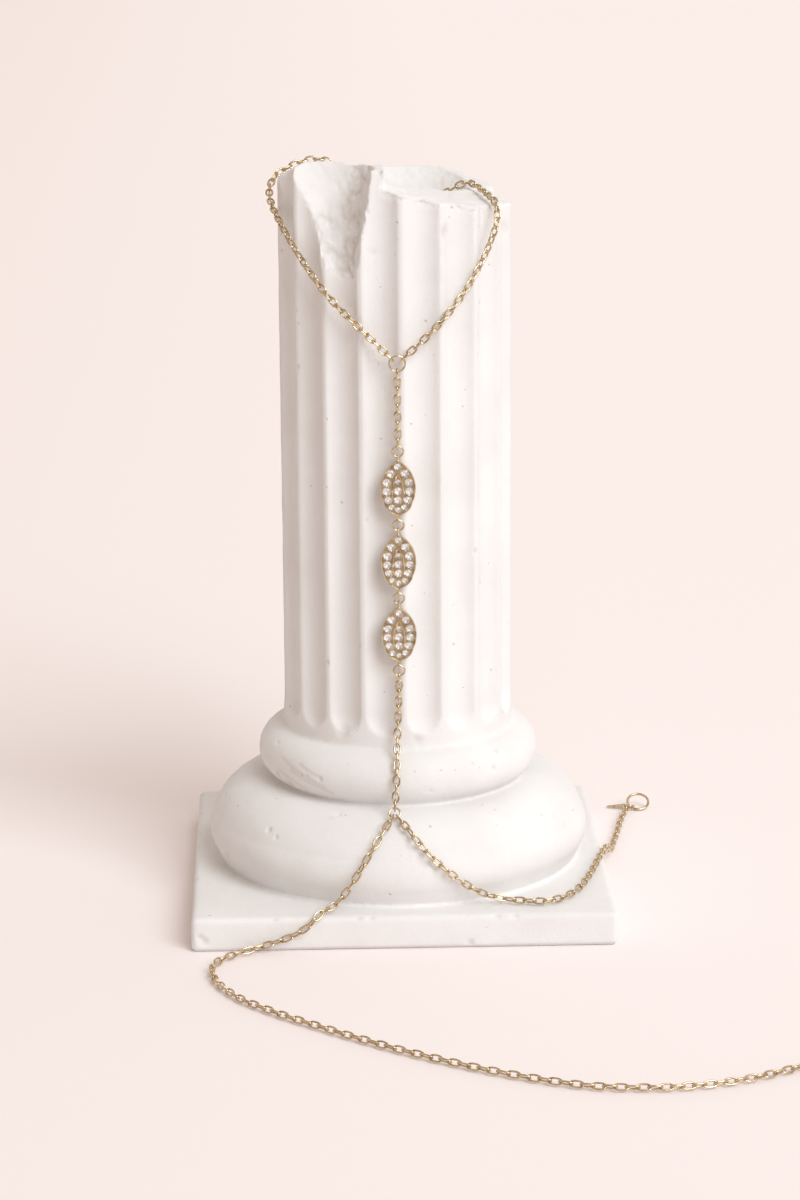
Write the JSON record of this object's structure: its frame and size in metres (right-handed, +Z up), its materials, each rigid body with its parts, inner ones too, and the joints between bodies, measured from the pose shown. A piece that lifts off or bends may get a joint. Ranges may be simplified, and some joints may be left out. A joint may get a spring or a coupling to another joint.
{
  "type": "hand chain bracelet on a column stand",
  "caption": "Fine cable-chain hand jewel with stone-set leaf plaques and two long free strands, hung over a small broken plaster column.",
  "frame": {"origin": "centre of the plinth's underside, which rests on the floor", "axes": "+Z up along the column, -Y the front where the drop hangs, +X to the right seen from the front"},
  "size_m": [0.1509, 0.1825, 0.1652],
  "materials": {
    "plaster": "matte white cast plaster, pitted and chipped",
    "gold": "polished pale gold plate",
    "crystal": "clear colourless cut stones"
  },
  "bodies": {
    "root": {"column_stand": "plaster", "wrist_chain_left": "gold", "wrist_chain_right": "gold", "top_ring": "gold", "upper_drop_chain": "gold", "jump_ring_1": "gold", "jump_ring_2": "gold", "jump_ring_3": "gold", "jump_ring_4": "gold", "plaque_1": "gold", "plaque_2": "gold", "plaque_3": "gold", "stones_1": "crystal", "stones_2": "crystal", "stones_3": "crystal", "lower_drop_chain": "gold", "fork_ring": "gold", "right_chain_upper": "gold", "right_chain_lower": "gold", "joining_ring": "gold", "end_ring": "gold", "end_tag": "gold", "left_chain": "gold", "clasp_ring": "gold", "clasp": "gold"}
  },
  "joints": []
}
